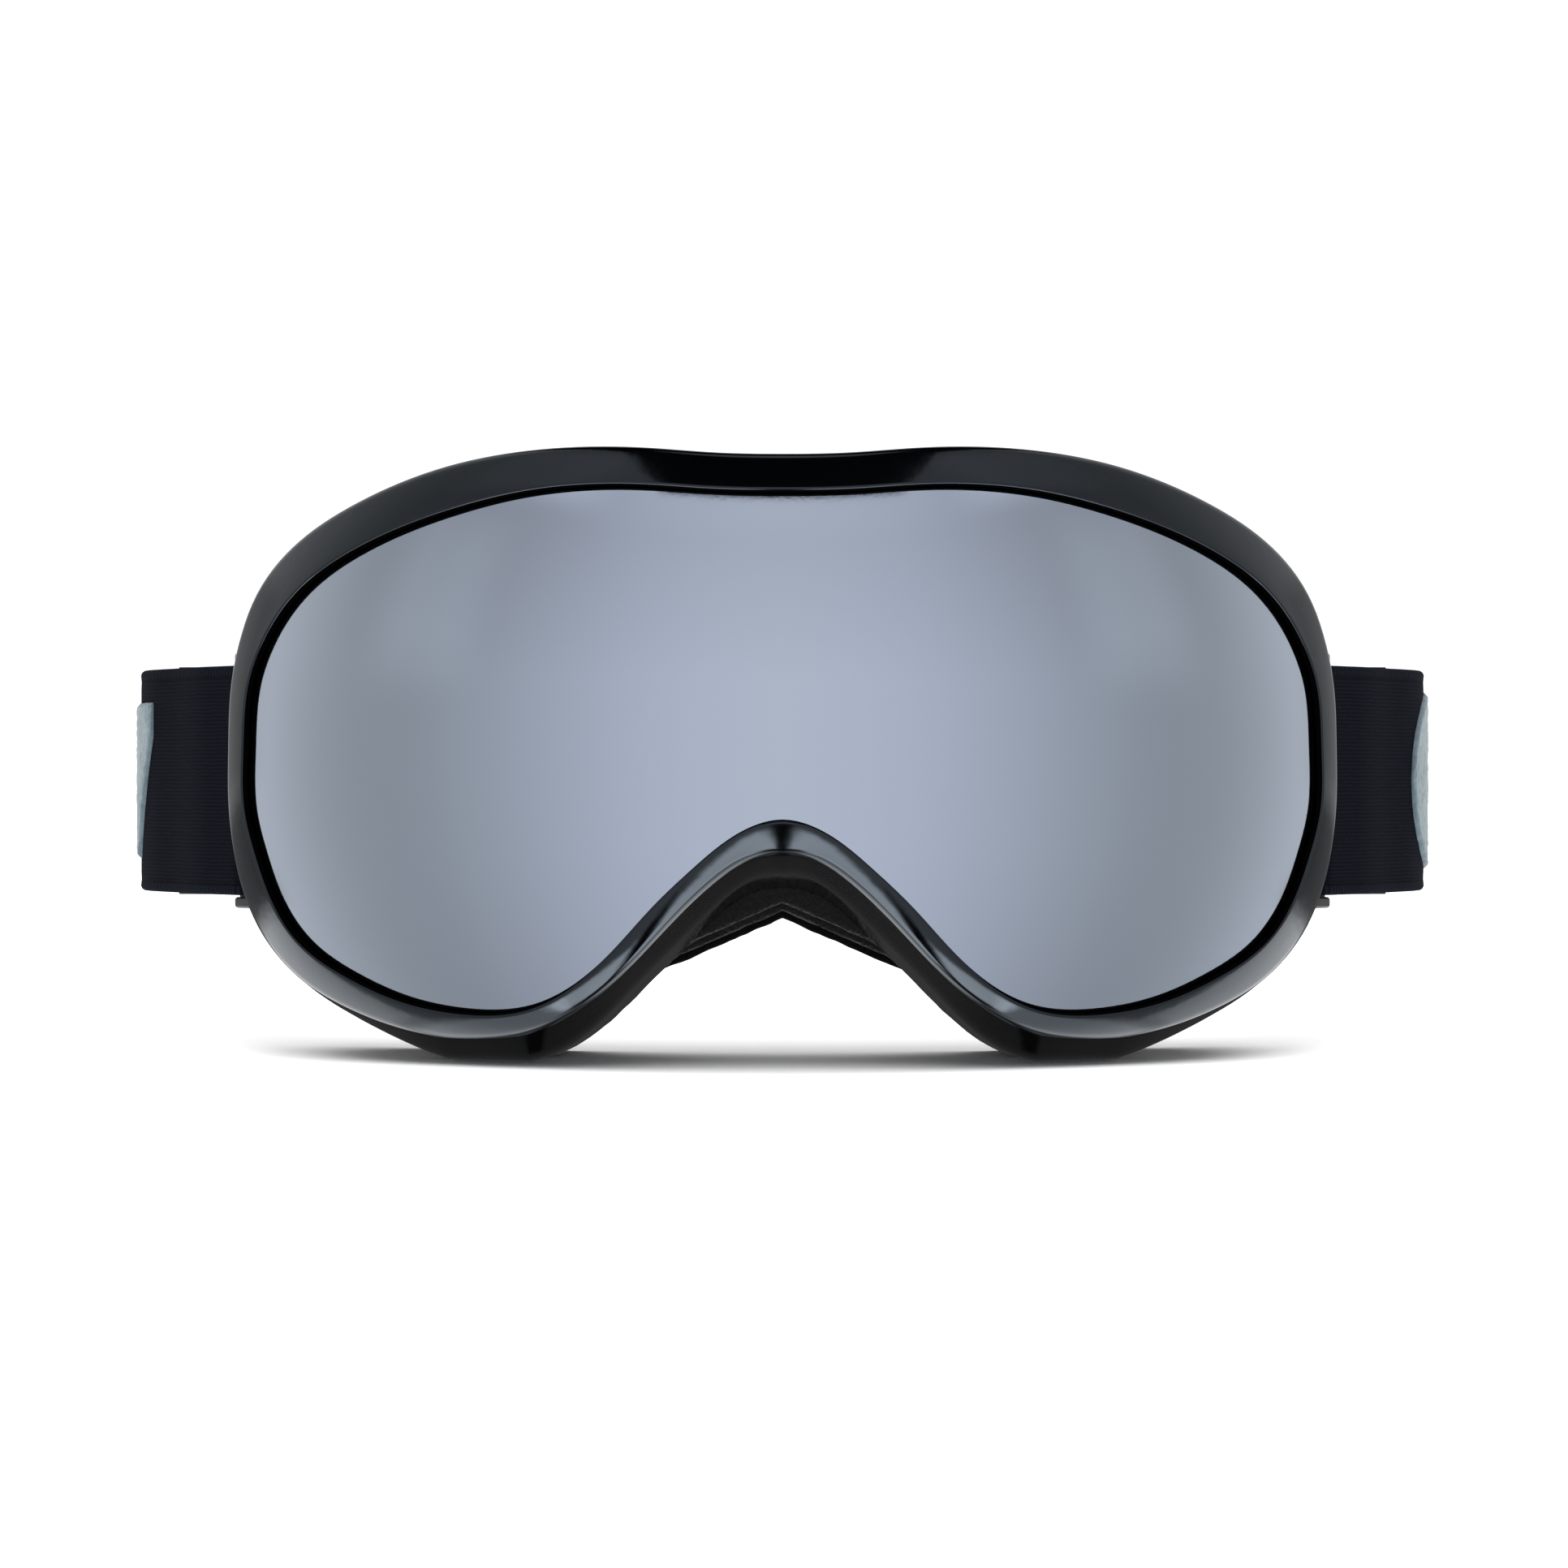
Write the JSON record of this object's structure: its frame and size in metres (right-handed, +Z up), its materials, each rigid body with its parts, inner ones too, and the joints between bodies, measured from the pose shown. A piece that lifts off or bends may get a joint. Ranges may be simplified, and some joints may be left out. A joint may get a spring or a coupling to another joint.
{
  "type": "ski goggles",
  "caption": "Ski goggles with a glossy black frame, a silver mirrored spherical double lens, layered face foam and a dark elastic strap on hinged arms.",
  "frame": {"origin": "centre of the bounding box on the floor that the goggles stand on", "axes": "+X to the wearer's left, +Y from the lens back through the face and the strap's loop, +Z up"},
  "size_m": [0.2246, 0.2236, 0.0962],
  "materials": {
    "frame": "injection-moulded black TPU, high gloss",
    "outer_lens": "polycarbonate with a silver mirror coating",
    "inner_lens": "clear anti-fog sheet",
    "foam": "black open-cell foam",
    "vent_foam": "thin reticulated foam",
    "fleece": "black brushed fleece",
    "steel": "plain steel pin",
    "arm": "satin black nylon",
    "slider": "satin black acetal",
    "webbing": "woven elastic webbing, near-black navy",
    "flock": "raised grey-blue flock",
    "silicone": "printed silicone grip line"
  },
  "bodies": {
    "goggle": {"frame": "frame", "outer_lens": "outer_lens", "inner_lens": "inner_lens", "lens_spacer": "foam", "top_vent_foam": "vent_foam", "lower_vent_foam_left": "vent_foam", "lower_vent_foam_right": "vent_foam", "face_foam_base": "foam", "face_foam_comfort": "foam", "face_fleece": "fleece", "hinge_pin_left": "steel", "hinge_pin_right": "steel", "strap_band": "webbing", "strap_return_left": "webbing", "strap_return_right": "webbing", "strap_print_left": "flock", "strap_print_right": "flock", "grip_line_upper": "silicone", "grip_line_lower": "silicone"},
    "left_arm": {"strap_arm_left": "arm", "strap_loop_left": "webbing"},
    "right_arm": {"strap_arm_right": "arm", "strap_loop_right": "webbing"},
    "left_slider": {"slider_left": "slider", "strap_end_left": "webbing"},
    "right_slider": {"slider_right": "slider", "strap_end_right": "webbing"}
  },
  "joints": [
    {"name": "left_arm_swing", "type": "hinge", "parent": "goggle", "child": "left_arm", "pos_m": [0.0832, -0.0508, 0.0446], "axis": [0, 0, 1], "range_deg": [-14, 28]},
    {"name": "right_arm_swing", "type": "hinge", "parent": "goggle", "child": "right_arm", "pos_m": [-0.0832, -0.0508, 0.0446], "axis": [0, 0, -1], "range_deg": [-14, 28]},
    {"name": "left_slider_travel", "type": "slide", "parent": "goggle", "child": "left_slider", "axis": [-0.1564, 0.9877, 0], "range_m": [-0.003, 0.013]},
    {"name": "right_slider_travel", "type": "slide", "parent": "goggle", "child": "right_slider", "axis": [0.1564, 0.9877, 0], "range_m": [-0.003, 0.013]}
  ]
}
